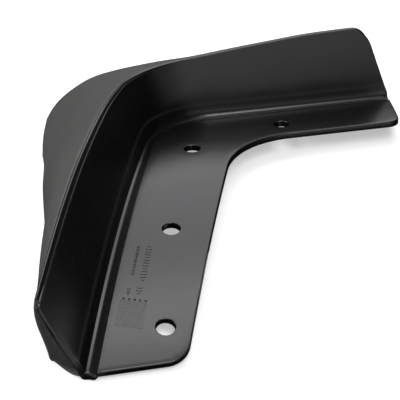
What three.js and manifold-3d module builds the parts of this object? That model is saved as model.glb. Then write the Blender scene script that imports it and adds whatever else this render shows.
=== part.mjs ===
// Moulded splash guard for the lower corner of a wheel arch.
// Millimetres, +Z up. +X runs along the short arm, -Y along the long arm.
// The real guard is one moulding. Each node is one zone of it, cut along its own feature lines.
import * as THREE from 'three';
import Module from 'manifold-3d';

const wasm = await Module();
wasm.setup();

// ---------------------------------------------------------------- driving dimensions
const ARCH_RADIUS = 400;      // wheel-arch radius the flange is bent to
const CREST_Y = 5.2;          // highest line of the bent flange
const CREST_Z = 18.9;         // height of that line
const LONG_ARM = 211;         // foot of the wall, near tip to the corner point
const SHORT_ARM = 142.4;      // foot of the wall, corner point to the far end
const ARM_SPLAY = 18.1;       // degrees the arms open beyond a right angle
const BEND_RADIUS = 45;       // plan radius of the wall foot between the arms
const LONG_WIDTH = 42.6;      // wall foot to free edge, at the near end
const WIDTH_GROWTH = 7.2;     // how much wider the long arm is at the corner point
const SHORT_WIDTH = 39.5;     // wall foot to free edge, short arm
const INNER_RADIUS = 46;      // free edge, inside corner
const NEAR_CORNER_RADIUS = 13;
const FAR_CORNER_RADIUS = 8;
const FAR_END_SLANT = 6.5;    // how far the flange's far end leans back over its width
const SHEET = 3.5;            // flange and channel thickness
const WALL = 3.0;             // wall thickness
const SKIN = 2.6;             // outer skin thickness
const RIB = 2.0;              // stiffening rib thickness
const RIB_LIFT = 6;           // rib's lower edge above the skin's free edge
const RIB_FOOT = 3;           // rib's lower edge above the channel, along the wall
const CAP = 2.7;              // near end plate thickness
const HOLE_RADIUS = 4.5;      // fastener hole
const HOLE_LEAD = 0.5;        // chamfer at the hole's mouth
const SPOT_RADIUS = 9;        // flat spot face round each hole
const SPOT_DEPTH = 0.3;
const CHANNEL_DIP = 1.8;      // channel floor below the flange
const CHANNEL_WIDTH = 4.6;    // wall foot to the flange's crisp edge
const CHANNEL_RISE = 3.0;     // how far the channel node climbs the wall
const HEM = 8.0;              // depth of the folded hem, both sides of the ridge
const RAKE = 10.5;            // how far the skin's near bottom corner stands back from the tip
const RAKE_FADE = 32;         // length of skin over which that rake dies out
const TRIM_RUN = 15.5;        // lean of the wall's far end over the full height
const TRIM_RADIUS = 15;       // rounded top corner of the wall's far end
const GAP = 0.3;              // clearance between neighbouring zones

// Fastener holes: distance along the arm from its outer end, and distance in from the wall foot.
const LONG_HOLES = [[28.9, 30.9], [92.8, 25.2], [171.9, 26.4]];
const SHORT_HOLES = [[73.1, 25.3]];

// Profiles along the guard. Position 0-1 is the long arm, 1-2 the bend, 2-3 the short arm.
const LEAN = [[0, 29], [0.33, 26.5], [0.66, 24], [1, 21], [1.5, 17], [2, 13], [2.5, 11], [3, 10]];
const HEIGHT = [
  [0, 38.3], [0.15, 38.6], [0.3, 39], [0.45, 39.2], [0.6, 38.8], [0.8, 37.8], [1, 35.4],
  [1.3, 34.4], [1.5, 34.6], [1.8, 35.8], [2, 37.5], [2.3, 41.5], [2.6, 44.6], [3, 46],
];
const SKIN_REACH = [
  [0, 19.7], [0.15, 24.5], [0.3, 30], [0.45, 36.3], [0.6, 43.3], [0.8, 52.6], [1, 60.9],
  [1.1, 64.6], [1.2, 69.4], [1.3, 74.4], [1.4, 74.8], [1.5, 70.4], [1.6, 64.4], [1.8, 54.2],
  [2, 46.5], [2.4, 34], [3, 18],
];
const SKIN_FOOT = [[0, 0], [1, 0], [2, 0], [2.3, 5], [2.65, 17], [3, 28]];
const LEAVE_ANGLE = [
  [0, 78], [0.15, 58], [0.3, 42], [0.6, 28], [1, 24], [1.4, 20], [1.7, 22], [2, 30], [3, 40],
];
const LAND_ANGLE = [
  [0, 92], [0.15, 92], [0.3, 90], [0.6, 84], [1, 70], [1.4, 62], [1.7, 66], [2, 72], [3, 78],
];
const LAND_WIDTH = [[0, 1.8], [0.5, 1.2], [1, 0.8], [3, 0.8]];
const RIB_POSITIONS = [0.2, 0.42, 0.64, 0.86, 1.3, 1.75, 2.3];

// ---------------------------------------------------------------- plan layout
const splay = THREE.MathUtils.degToRad(ARM_SPLAY);
const turn = Math.PI / 2 - splay;
const tangentLength = BEND_RADIUS * Math.tan(turn / 2);
const longRun = LONG_ARM - tangentLength;
const bendRun = BEND_RADIUS * turn;
const bendEnd = longRun + bendRun;
const fullRun = bendEnd + SHORT_ARM - tangentLength;
const cornerPoint = new THREE.Vector2(-5.4, 103);
const longDirection = new THREE.Vector2(Math.sin(splay), Math.cos(splay));
const longOutward = new THREE.Vector2(-Math.cos(splay), Math.sin(splay));
const nearTip = cornerPoint.clone().addScaledVector(longDirection, -LONG_ARM);
const bendCentre = cornerPoint.clone().add(new THREE.Vector2(tangentLength, -BEND_RADIUS));

// Wall foot at distance s from the near tip: plan point and outward direction.
function foot(s) {
  const angle = THREE.MathUtils.clamp((s - longRun) / BEND_RADIUS, 0, turn);
  const outward = new THREE.Vector2(-Math.cos(splay + angle), Math.sin(splay + angle));
  let point;
  if (s < longRun) {
    point = nearTip.clone().addScaledVector(longDirection, s);
  } else if (s > bendEnd) {
    point = new THREE.Vector2(bendCentre.x + s - bendEnd, cornerPoint.y);
  } else {
    point = bendCentre.clone().addScaledVector(outward, BEND_RADIUS);
  }
  return { point, outward };
}

function archHeight(y) {
  return CREST_Z - ARCH_RADIUS + Math.sqrt(ARCH_RADIUS ** 2 - (y - CREST_Y) ** 2);
}

function distanceAt(position) {
  if (position <= 1) return position * longRun;
  if (position <= 2) return longRun + (position - 1) * bendRun;
  return bendEnd + (position - 2) * (fullRun - bendEnd);
}

// Smooth, overshoot-free curve through a profile, read by distance along the wall foot.
function profile(table) {
  const xs = table.map(([position]) => distanceAt(position));
  const ys = table.map(([, value]) => value);
  const last = xs.length - 1;
  const slopes = xs.slice(1).map((x, i) => (ys[i + 1] - ys[i]) / (x - xs[i]));
  const tangents = xs.map((x, i) => {
    if (i === 0) return slopes[0];
    if (i === last) return slopes[last - 1];
    const [before, after] = [slopes[i - 1], slopes[i]];
    if (before * after <= 0) return 0;
    const [left, right] = [xs[i] - xs[i - 1], xs[i + 1] - xs[i]];
    const [w1, w2] = [2 * right + left, right + 2 * left];
    return (w1 + w2) / (w1 / before + w2 / after);
  });
  return (s) => {
    const x = THREE.MathUtils.clamp(s, xs[0], xs[last]);
    let i = 0;
    while (i < last - 1 && x > xs[i + 1]) i += 1;
    const step = xs[i + 1] - xs[i];
    const t = (x - xs[i]) / step;
    const h00 = (1 + 2 * t) * (1 - t) ** 2;
    const h10 = t * (1 - t) ** 2;
    const h01 = t * t * (3 - 2 * t);
    const h11 = t * t * (t - 1);
    return h00 * ys[i] + h10 * step * tangents[i] + h01 * ys[i + 1] + h11 * step * tangents[i + 1];
  };
}

const leanAt = profile(LEAN);
const heightAt = profile(HEIGHT);
const reachAt = profile(SKIN_REACH);
const skinFootAt = profile(SKIN_FOOT);
const leaveAngleAt = profile(LEAVE_ANGLE);
const landAngleAt = profile(LAND_ANGLE);
const landWidthAt = profile(LAND_WIDTH);

// ---------------------------------------------------------------- cross-section at one station
// Section coordinates: x is outward from the wall foot, y is height above the floor.
function sectionAt(s) {
  const { point } = foot(s);
  const lean = THREE.MathUtils.degToRad(leanAt(s));
  const up = new THREE.Vector2(Math.sin(lean), Math.cos(lean));
  const back = new THREE.Vector2(Math.cos(lean), -Math.sin(lean));
  const base = new THREE.Vector2(0, archHeight(point.y));
  const slant = heightAt(s) / Math.cos(lean);
  const wallPoint = (along, depth) => (
    base.clone().addScaledVector(up, along).addScaledVector(back, depth)
  );
  const ridge = wallPoint(slant, 0);
  const start = ridge.clone().add(new THREE.Vector2(landWidthAt(s), 0));
  const end = new THREE.Vector2(reachAt(s), skinFootAt(s));
  const chord = start.distanceTo(end);
  const leave = THREE.MathUtils.degToRad(leaveAngleAt(s));
  const land = THREE.MathUtils.degToRad(landAngleAt(s));
  const curve = new THREE.CubicBezierCurve(
    start,
    start.clone().add(new THREE.Vector2(Math.cos(leave), -Math.sin(leave)).multiplyScalar(chord * 0.38)),
    end.clone().add(new THREE.Vector2(-Math.cos(land), Math.sin(land)).multiplyScalar(chord * 0.4)),
    end,
  );
  return { s, base, slant, wallPoint, ridge, start, end, land, curve };
}

// Parameter of the skin curve at a given length down from the ridge.
function skinParameter(section, length) {
  return section.curve.getUtoTmapping(0, length);
}

function skinPoint(section, t, depth) {
  const point = section.curve.getPoint(t);
  const tangent = section.curve.getTangent(t);
  const inward = new THREE.Vector2(tangent.y, -tangent.x);
  if (t > 0.9999) {
    return new THREE.Vector2(point.x - depth / Math.sin(section.land), point.y);
  }
  return point.addScaledVector(inward, depth);
}

// A ring vertex: section point plus the share of the near end's rake it takes.
function vertex(point, rake = 0) {
  return { x: point.x, y: point.y, rake };
}

function toSpace(s, corner) {
  const fade = Math.max(0, 1 - s / RAKE_FADE);
  const { point, outward } = foot(s + RAKE * corner.rake * fade);
  return new THREE.Vector3(
    point.x + outward.x * corner.x,
    point.y + outward.y * corner.x,
    corner.y,
  );
}

// ---------------------------------------------------------------- solids
// Closed solid through a row of equal-length rings, capped at both ends.
function loft(stations, ringAt) {
  const rings = stations.map((s) => {
    const ring = ringAt(s);
    return THREE.ShapeUtils.area(ring) > 0 ? ring : [...ring].reverse();
  });
  const count = rings[0].length;
  const positions = [];
  rings.forEach((ring, i) => {
    ring.forEach((corner) => positions.push(...toSpace(stations[i], corner).toArray()));
  });
  const index = [];
  for (let i = 0; i < rings.length - 1; i += 1) {
    for (let j = 0; j < count; j += 1) {
      const next = (j + 1) % count;
      const [a, b] = [i * count + j, i * count + next];
      const [c, d] = [b + count, a + count];
      index.push(a, b, c, a, c, d);
    }
  }
  const addCap = (ring, offset, facesForward) => {
    const outline = ring.map((corner) => new THREE.Vector2(corner.x, corner.y));
    THREE.ShapeUtils.triangulateShape(outline, []).forEach(([a, b, c]) => {
      const isForward = THREE.ShapeUtils.area([outline[a], outline[b], outline[c]]) > 0;
      const order = isForward === facesForward ? [a, b, c] : [a, c, b];
      index.push(...order.map((k) => k + offset));
    });
  };
  addCap(rings[0], 0, false);
  addCap(rings[rings.length - 1], (rings.length - 1) * count, true);
  const geometry = new THREE.BufferGeometry();
  geometry.setAttribute('position', new THREE.Float32BufferAttribute(positions, 3));
  geometry.setIndex(index);
  return geometry;
}

function weld(geometry) {
  const source = geometry.index ? geometry.toNonIndexed() : geometry;
  const values = source.getAttribute('position').array;
  const lookup = new Map();
  const positions = [];
  const index = [];
  for (let i = 0; i < values.length; i += 3) {
    const key = [0, 1, 2].map((k) => Math.round(values[i + k] * 1e4)).join();
    if (!lookup.has(key)) {
      lookup.set(key, lookup.size);
      positions.push(values[i], values[i + 1], values[i + 2]);
    }
    index.push(lookup.get(key));
  }
  return { positions, index };
}

function toSolid(geometry) {
  const { positions, index } = weld(geometry);
  return new wasm.Manifold(new wasm.Mesh({
    numProp: 3,
    vertProperties: new Float32Array(positions),
    triVerts: new Uint32Array(index),
  }));
}

function toGeometry(solid) {
  const mesh = solid.getMesh();
  const geometry = new THREE.BufferGeometry();
  geometry.setAttribute('position', new THREE.Float32BufferAttribute(mesh.vertProperties, 3));
  geometry.setIndex([...mesh.triVerts]);
  return geometry;
}

function extrudeUp(outline, bottom, top) {
  const geometry = new THREE.ExtrudeGeometry(new THREE.Shape(outline), {
    depth: top - bottom,
    bevelEnabled: false,
  });
  return toSolid(geometry.translate(0, 0, bottom));
}

// Replaces one corner of an outline with an arc.
function roundedCorner(before, corner, after, radius, steps) {
  const inDirection = before.clone().sub(corner).normalize();
  const outDirection = after.clone().sub(corner).normalize();
  const half = Math.acos(inDirection.dot(outDirection)) / 2;
  const bisector = inDirection.clone().add(outDirection).normalize();
  const centre = corner.clone().addScaledVector(bisector, radius / Math.sin(half));
  const first = corner.clone().addScaledVector(inDirection, radius / Math.tan(half)).sub(centre);
  const last = corner.clone().addScaledVector(outDirection, radius / Math.tan(half)).sub(centre);
  const sweep = Math.atan2(first.cross(last), first.dot(last));
  return Array.from({ length: steps + 1 }, (_, i) => (
    first.clone().rotateAround(new THREE.Vector2(), (sweep * i) / steps).add(centre)
  ));
}

// ---------------------------------------------------------------- flange
function archSlab() {
  const steps = 30;
  const halfAngle = 0.34;
  const arc = (radius, sign) => Array.from({ length: steps + 1 }, (_, i) => {
    const angle = sign * halfAngle * (1 - (2 * i) / steps);
    return new THREE.Vector2(
      CREST_Y + radius * Math.sin(angle),
      CREST_Z - ARCH_RADIUS + radius * Math.cos(angle),
    );
  });
  const shape = new THREE.Shape([...arc(ARCH_RADIUS, 1), ...arc(ARCH_RADIUS - SHEET, -1)]);
  const geometry = new THREE.ExtrudeGeometry(shape, { depth: 500, bevelEnabled: false });
  const axes = new THREE.Matrix4().makeBasis(
    new THREE.Vector3(0, 1, 0),
    new THREE.Vector3(0, 0, 1),
    new THREE.Vector3(1, 0, 0),
  );
  return toSolid(geometry.applyMatrix4(axes).translate(-250, 0, 0));
}

function flangeOutline() {
  const innerSide = (s, inset) => {
    const { point, outward } = foot(s);
    return point.clone().addScaledVector(outward, -inset);
  };
  const bendSteps = 16;
  const channelSide = Array.from({ length: bendSteps + 1 }, (_, i) => (
    innerSide(longRun + (bendRun * i) / bendSteps, CHANNEL_WIDTH)
  ));
  const nearChannel = innerSide(0, CHANNEL_WIDTH);
  const farChannel = innerSide(fullRun, CHANNEL_WIDTH);
  const farFree = new THREE.Vector2(
    farChannel.x - FAR_END_SLANT,
    cornerPoint.y - SHORT_WIDTH,
  );
  const edgeStart = nearTip.clone().addScaledVector(longOutward, -LONG_WIDTH);
  const edgeEnd = cornerPoint.clone().addScaledVector(longOutward, -LONG_WIDTH - WIDTH_GROWTH);
  const edge = edgeEnd.clone().sub(edgeStart);
  const insideCorner = edgeStart.clone().addScaledVector(edge, (farFree.y - edgeStart.y) / edge.y);
  const nearCorner = edgeStart.clone().addScaledVector(edge, (nearChannel.y - edgeStart.y) / edge.y);
  return [
    nearChannel,
    ...channelSide,
    farChannel,
    ...roundedCorner(farChannel, farFree, insideCorner, FAR_CORNER_RADIUS, 8),
    ...roundedCorner(farFree, insideCorner, nearCorner, INNER_RADIUS, 16),
    ...roundedCorner(insideCorner, nearCorner, nearChannel, NEAR_CORNER_RADIUS, 10),
  ].reverse();
}

function holeCentres() {
  const onLong = LONG_HOLES.map(([along, inset]) => (
    nearTip.clone().addScaledVector(longDirection, along).addScaledVector(longOutward, -inset)
  ));
  const onShort = SHORT_HOLES.map(([fromEnd, inset]) => (
    new THREE.Vector2(cornerPoint.x + SHORT_ARM - fromEnd, cornerPoint.y - inset)
  ));
  return [...onLong, ...onShort];
}

// Bore, lead-in chamfer and flat spot face of one fastener hole, square to the bent flange.
function holeCutter(centre) {
  const normal = new THREE.Vector3(
    0,
    centre.y - CREST_Y,
    Math.sqrt(ARCH_RADIUS ** 2 - (centre.y - CREST_Y) ** 2),
  ).normalize();
  const place = (geometry, offset) => {
    geometry.translate(0, offset, 0);
    const turnTo = new THREE.Quaternion().setFromUnitVectors(new THREE.Vector3(0, 1, 0), normal);
    geometry.applyQuaternion(turnTo);
    return toSolid(geometry.translate(centre.x, centre.y, archHeight(centre.y)));
  };
  const bore = place(new THREE.CylinderGeometry(HOLE_RADIUS, HOLE_RADIUS, 12, 28), -2);
  const leadTop = HOLE_RADIUS + HOLE_LEAD + SPOT_DEPTH;
  const lead = place(
    new THREE.CylinderGeometry(leadTop, HOLE_RADIUS, leadTop - HOLE_RADIUS, 28),
    (HOLE_RADIUS - leadTop) / 2,
  );
  const spot = place(new THREE.CylinderGeometry(SPOT_RADIUS, SPOT_RADIUS, 2, 36), 1 - SPOT_DEPTH);
  return bore.add(lead).add(spot);
}

function buildFlange() {
  let plate = extrudeUp(flangeOutline(), -30, 60).intersect(archSlab());
  holeCentres().forEach((centre) => {
    plate = plate.subtract(holeCutter(centre));
  });
  return plate;
}

// Flange zones are parted square to each arm, just outside the inside corner.
function flangeZones() {
  const plate = buildFlange();
  const longCut = foot(longRun * 0.78);
  const shortCut = foot(bendEnd + 14);
  const slab = (cut, from, to) => {
    const along = new THREE.Vector2(cut.outward.y, -cut.outward.x);
    const corner = (run, out) => (
      cut.point.clone().addScaledVector(along, run).addScaledVector(cut.outward, out)
    );
    return extrudeUp([corner(from, 30), corner(from, -90), corner(to, -90), corner(to, 30)], -40, 70);
  };
  const beforeLong = slab(longCut, -400, -GAP / 2);
  const upToLong = slab(longCut, -400, GAP / 2);
  const afterShort = slab(shortCut, GAP / 2, 400);
  const fromShort = slab(shortCut, -GAP / 2, 400);
  return {
    flange_long_arm: plate.intersect(beforeLong),
    flange_corner: plate.subtract(upToLong).subtract(fromShort),
    flange_short_arm: plate.intersect(afterShort),
  };
}

// ---------------------------------------------------------------- rings of the swept zones
function channelRing(s) {
  const section = sectionAt(s);
  const { point, outward } = foot(s);
  const onArch = (out, drop) => (
    vertex(new THREE.Vector2(out, archHeight(point.y + outward.y * out) - drop))
  );
  const flangeSide = GAP - CHANNEL_WIDTH;
  return [
    onArch(flangeSide, 0),
    onArch(-1.9, CHANNEL_DIP),
    onArch(-1.2, CHANNEL_DIP),
    onArch(-0.3, CHANNEL_DIP - 0.6),
    onArch(0.15, CHANNEL_DIP - 1.7),
    vertex(section.wallPoint(CHANNEL_RISE, 0)),
    vertex(section.wallPoint(CHANNEL_RISE, WALL)),
    onArch(3.4, CHANNEL_DIP + 1.6),
    onArch(2.2, CHANNEL_DIP + SHEET),
    onArch(-2.9, CHANNEL_DIP + SHEET),
    onArch(flangeSide, SHEET),
  ];
}

function wallRing(s) {
  const { wallPoint, slant } = sectionAt(s);
  const low = CHANNEL_RISE + GAP;
  const high = slant - HEM - GAP;
  return [[low, 0], [high, 0], [high, WALL], [low, WALL]].map(([a, d]) => vertex(wallPoint(a, d)));
}

function crossing(a, directionA, b, directionB) {
  const along = b.clone().sub(a).cross(directionB) / directionA.cross(directionB);
  return a.clone().addScaledVector(directionA, along);
}

function hemRing(s) {
  const section = sectionAt(s);
  const { wallPoint, slant, ridge, start } = section;
  const skinEnd = skinParameter(section, HEM);
  const outerSkin = [1 / 3, 2 / 3, 1].map((share) => {
    const t = skinParameter(section, HEM * share);
    return vertex(skinPoint(section, t, 0), t);
  });
  const innerSkin = skinPoint(section, skinEnd, SKIN);
  const innerWall = wallPoint(slant - HEM, WALL);
  const apex = crossing(
    innerWall,
    ridge.clone().sub(wallPoint(slant - HEM, 0)),
    innerSkin,
    start.clone().sub(skinPoint(section, skinEnd, 0)),
  );
  return [
    vertex(wallPoint(slant - HEM, 0)),
    vertex(ridge),
    vertex(start),
    ...outerSkin,
    vertex(innerSkin, skinEnd),
    vertex(apex),
    vertex(innerWall),
  ];
}

function skinRing(s) {
  const section = sectionAt(s);
  const steps = 11;
  const first = skinParameter(section, HEM + GAP);
  const outer = [];
  const inner = [];
  for (let i = 0; i <= steps; i += 1) {
    const t = first + ((1 - first) * i) / steps;
    outer.push(vertex(skinPoint(section, t, 0), t));
    inner.unshift(vertex(skinPoint(section, t, SKIN), t));
  }
  return [...outer, ...inner];
}

function capRing(s) {
  const section = sectionAt(s);
  const { wallPoint, ridge, start, end, base } = section;
  const skinSide = Array.from({ length: 11 }, (_, i) => {
    const t = (i + 1) / 11;
    return vertex(skinPoint(section, t, 0), t);
  });
  const low = CHANNEL_RISE + GAP;
  const inner = wallPoint(low, WALL).x + GAP;
  return [
    vertex(wallPoint(low, 0)),
    vertex(ridge),
    vertex(start),
    ...skinSide,
    vertex(new THREE.Vector2(inner, end.y + 0.2), inner / end.x - 0.2),
    vertex(new THREE.Vector2(inner, base.y + 1.2)),
    vertex(wallPoint(low, WALL)),
  ];
}

// Clearance shapes that keep the near end plate off the wall, the hem and the skin behind it.
function wallClearanceRing(s) {
  const { wallPoint, slant } = sectionAt(s);
  const depth = WALL + GAP;
  return [[0, -1], [slant + 1, -1], [slant - 1, depth], [0, depth]]
    .map(([along, out]) => vertex(wallPoint(along, out)));
}

function skinClearanceRing(s) {
  const section = sectionAt(s);
  const steps = 10;
  const outer = [];
  const inner = [];
  for (let i = 0; i <= steps; i += 1) {
    const t = 0.02 + (0.98 * i) / steps;
    outer.push(vertex(skinPoint(section, t, -1), t));
    inner.unshift(vertex(skinPoint(section, t, SKIN + GAP), t));
  }
  return [...outer, ...inner];
}

// Skin parameter where the inside of the skin comes down to a given height.
function parameterAtHeight(section, depth, height) {
  let [high, low] = [0, 0.999];
  for (let i = 0; i < 30; i += 1) {
    const middle = (high + low) / 2;
    if (skinPoint(section, middle, depth).y > height) high = middle;
    else low = middle;
  }
  return high;
}

function ribRing(s) {
  const section = sectionAt(s);
  const { wallPoint, slant, end } = section;
  const steps = 9;
  const inset = SKIN + GAP;
  const clear = HEM + 4 * GAP;
  const first = skinParameter(section, clear);
  const last = parameterAtHeight(section, inset, end.y + RIB_LIFT);
  const skinSide = Array.from({ length: steps + 1 }, (_, i) => (
    skinPoint(section, first + ((last - first) * i) / steps, inset)
  ));
  return [
    wallPoint(CHANNEL_RISE + RIB_FOOT, WALL + GAP),
    wallPoint(slant - clear, WALL + GAP),
    ...skinSide,
  ].map((point) => vertex(point));
}

// ---------------------------------------------------------------- sweeping and trimming
function stations(from, to, count) {
  return Array.from({ length: count + 1 }, (_, i) => from + ((to - from) * i) / count);
}

const zones = [
  { name: 'long_arm', from: 0, to: longRun - GAP / 2, count: 15 },
  { name: 'bend', from: longRun + GAP / 2, to: bendEnd - GAP / 2, count: 18 },
  { name: 'short_arm', from: bendEnd + GAP / 2, to: fullRun, count: 9 },
];

// Everything kept left of the wall's leaning far end with its rounded top corner.
function farTrim() {
  const footX = foot(fullRun).point.x;
  const baseZ = archHeight(cornerPoint.y);
  const topZ = baseZ + heightAt(fullRun) + 0.02;
  const lowest = new THREE.Vector2(footX, -40);
  const base = new THREE.Vector2(footX, baseZ + CHANNEL_RISE);
  const corner = new THREE.Vector2(footX - TRIM_RUN, topZ);
  const left = new THREE.Vector2(footX - 300, topZ);
  const outline = [
    lowest,
    base,
    ...roundedCorner(base, corner, left, TRIM_RADIUS, 10),
    left,
    new THREE.Vector2(footX - 300, -40),
  ];
  const geometry = new THREE.ExtrudeGeometry(new THREE.Shape(outline), {
    depth: 600,
    bevelEnabled: false,
  });
  return toSolid(geometry.rotateX(Math.PI / 2).translate(0, 300, 0));
}

const sweeps = [
  { name: 'channel', ring: channelRing, start: 0, trimmed: false },
  { name: 'wall', ring: wallRing, start: CAP + GAP, trimmed: true },
  { name: 'hem', ring: hemRing, start: CAP + GAP, trimmed: true },
  { name: 'skin', ring: skinRing, start: CAP + GAP, trimmed: true },
];

const black = { color: 0x232324, roughness: 0.55, metalness: 0 };
const grained = { color: 0x2c2c2b, roughness: 0.85, metalness: 0 };
const group = new THREE.Group();

function addNode(name, geometry, finish) {
  const mesh = new THREE.Mesh(geometry, new THREE.MeshStandardMaterial(finish));
  mesh.name = name;
  group.add(mesh);
}

Object.entries(flangeZones()).forEach(([name, solid]) => {
  addNode(name, toGeometry(solid), black);
});

const trim = farTrim();
sweeps.forEach((sweep) => {
  const finish = sweep.name === 'skin' ? grained : black;
  zones.forEach((zone) => {
    const from = Math.max(zone.from, zone.from === 0 ? sweep.start : zone.from);
    const geometry = loft(stations(from, zone.to, zone.count), sweep.ring);
    const isCut = sweep.trimmed && zone.name === 'short_arm';
    const shaped = isCut ? toGeometry(toSolid(geometry).intersect(trim)) : geometry;
    addNode(`${sweep.name}_${zone.name}`, shaped, finish);
  });
});

const capReach = [CAP, CAP + 6];
const nearEndCap = [wallClearanceRing, hemRing, skinClearanceRing].reduce(
  (plate, ring) => plate.subtract(toSolid(loft(capReach, ring))),
  toSolid(loft([0, CAP], capRing)),
);
addNode('near_end_cap', toGeometry(nearEndCap), grained);

RIB_POSITIONS.forEach((position, i) => {
  const s = distanceAt(position);
  addNode(`rib_${i + 1}`, loft([s - RIB / 2, s + RIB / 2], ribRing), black);
});

// The origin goes to the middle of the footprint, on the floor.
const bounds = new THREE.Box3().setFromObject(group);
const centre = bounds.getCenter(new THREE.Vector3());
group.children.forEach((mesh) => {
  mesh.geometry.translate(-centre.x, -centre.y, -bounds.min.z);
});

export default group;
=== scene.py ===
import math

import bmesh
import bpy
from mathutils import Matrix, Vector
from mathutils.geometry import delaunay_2d_cdt

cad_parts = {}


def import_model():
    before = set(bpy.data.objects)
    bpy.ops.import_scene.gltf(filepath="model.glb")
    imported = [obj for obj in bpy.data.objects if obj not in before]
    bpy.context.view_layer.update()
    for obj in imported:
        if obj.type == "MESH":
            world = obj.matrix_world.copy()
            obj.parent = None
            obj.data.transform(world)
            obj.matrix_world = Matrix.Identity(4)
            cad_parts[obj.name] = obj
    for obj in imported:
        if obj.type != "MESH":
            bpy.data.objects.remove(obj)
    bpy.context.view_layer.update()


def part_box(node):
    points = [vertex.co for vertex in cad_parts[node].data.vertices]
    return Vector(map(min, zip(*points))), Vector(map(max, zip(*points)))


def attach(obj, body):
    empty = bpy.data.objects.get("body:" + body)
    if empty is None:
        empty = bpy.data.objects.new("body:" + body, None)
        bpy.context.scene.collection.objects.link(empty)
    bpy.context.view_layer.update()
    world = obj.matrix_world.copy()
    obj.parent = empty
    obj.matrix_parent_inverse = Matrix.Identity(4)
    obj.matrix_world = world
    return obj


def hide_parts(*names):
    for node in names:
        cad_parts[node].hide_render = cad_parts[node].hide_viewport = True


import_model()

# The guard is laid out in millimetres on its own plan axes: +X along the short arm,
# -Y along the long arm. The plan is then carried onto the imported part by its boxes.
MM = 0.001

ARCH_RADIUS = 400.0
CREST_Y = 5.2
CREST_Z = 18.9
LONG_ARM = 211.0
SHORT_ARM = 142.4
ARM_SPLAY = 18.1
BEND_RADIUS = 45.0
LONG_WIDTH = 42.6
WIDTH_GROWTH = 7.2
SHORT_WIDTH = 39.5
INNER_RADIUS = 46.0
NEAR_CORNER_RADIUS = 13.0
FAR_CORNER_RADIUS = 8.0
FAR_END_SLANT = 6.5
SHEET = 3.5
WALL = 3.0
SKIN = 2.6
RIB = 2.0
RIB_LIFT = 6.0
CAP = 2.7
HOLE_RADIUS = 4.5
CHANNEL_WIDTH = 4.6
CHANNEL_RISE = 3.0
RAKE = 10.5
RAKE_FADE = 32.0
TRIM_RUN = 15.5
TRIM_RADIUS = 19.0
CORNER = Vector((-5.4, 103.0))
LONG_HOLES = [(28.9, 30.9), (92.8, 25.2), (171.9, 26.4)]
SHORT_HOLES = [(73.1, 25.3)]
RIB_POSITIONS = [0.2, 0.42, 0.64, 0.86, 1.3, 1.75, 2.3]

FORWARD_LEAN = 0.25  # share of the rake by which the wall's near end bows forward
LEAN_REACH = 21.0  # distance outward from the wall foot over which it bows

SPLAY = math.radians(ARM_SPLAY)
TURN = math.pi / 2 - SPLAY
TANGENT = BEND_RADIUS * math.tan(TURN / 2)
LONG_RUN = LONG_ARM - TANGENT
BEND_END = LONG_RUN + BEND_RADIUS * TURN
FULL_RUN = BEND_END + SHORT_ARM - TANGENT
ALONG = Vector((math.sin(SPLAY), math.cos(SPLAY)))
OUTWARD = Vector((-math.cos(SPLAY), math.sin(SPLAY)))
NEAR_TIP = CORNER - ALONG * LONG_ARM
BEND_CENTRE = CORNER + Vector((TANGENT, -BEND_RADIUS))

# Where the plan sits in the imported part.
SHIFT = Vector((
    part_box("channel_short_arm")[1].x - (CORNER.x + SHORT_ARM) * MM,
    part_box("flange_short_arm")[1].y - (CORNER.y - CHANNEL_WIDTH) * MM,
    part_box("flange_long_arm")[1].z - CREST_Z * MM,
))


def world(x, y, z):
    return Vector((x * MM, y * MM, z * MM)) + SHIFT


# ------------ the guard's own curves
def foot(s):
    """Wall foot at distance s from the near tip: plan point and outward direction."""
    angle = min(max((s - LONG_RUN) / BEND_RADIUS, 0.0), TURN)
    outward = Vector((-math.cos(SPLAY + angle), math.sin(SPLAY + angle)))
    if s < LONG_RUN:
        return NEAR_TIP + ALONG * s, outward
    if s > BEND_END:
        return Vector((BEND_CENTRE.x + s - BEND_END, CORNER.y)), outward
    return BEND_CENTRE + outward * BEND_RADIUS, outward


def arch(y):
    return CREST_Z - ARCH_RADIUS + math.sqrt(ARCH_RADIUS ** 2 - (y - CREST_Y) ** 2)


def distance_at(position):
    if position <= 1:
        return position * LONG_RUN
    if position <= 2:
        return LONG_RUN + (position - 1) * (BEND_END - LONG_RUN)
    return BEND_END + (position - 2) * (FULL_RUN - BEND_END)


def profile(table):
    """Smooth, overshoot-free curve through a profile, read by distance along the wall foot."""
    xs = [distance_at(position) for position, value in table]
    ys = [value for position, value in table]
    last = len(xs) - 1
    slopes = [(ys[i + 1] - ys[i]) / (xs[i + 1] - xs[i]) for i in range(last)]
    tangents = [slopes[0]]
    for i in range(1, last):
        before, after = slopes[i - 1], slopes[i]
        if before * after <= 0:
            tangents.append(0.0)
            continue
        left, right = xs[i] - xs[i - 1], xs[i + 1] - xs[i]
        w1, w2 = 2 * right + left, right + 2 * left
        tangents.append((w1 + w2) / (w1 / before + w2 / after))
    tangents.append(slopes[-1])

    def read(s):
        x = min(max(s, xs[0]), xs[last])
        i = 0
        while i < last - 1 and x > xs[i + 1]:
            i += 1
        step = xs[i + 1] - xs[i]
        t = (x - xs[i]) / step
        return (
            (1 + 2 * t) * (1 - t) ** 2 * ys[i]
            + t * (1 - t) ** 2 * step * tangents[i]
            + t * t * (3 - 2 * t) * ys[i + 1]
            + t * t * (t - 1) * step * tangents[i + 1]
        )

    return read


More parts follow.
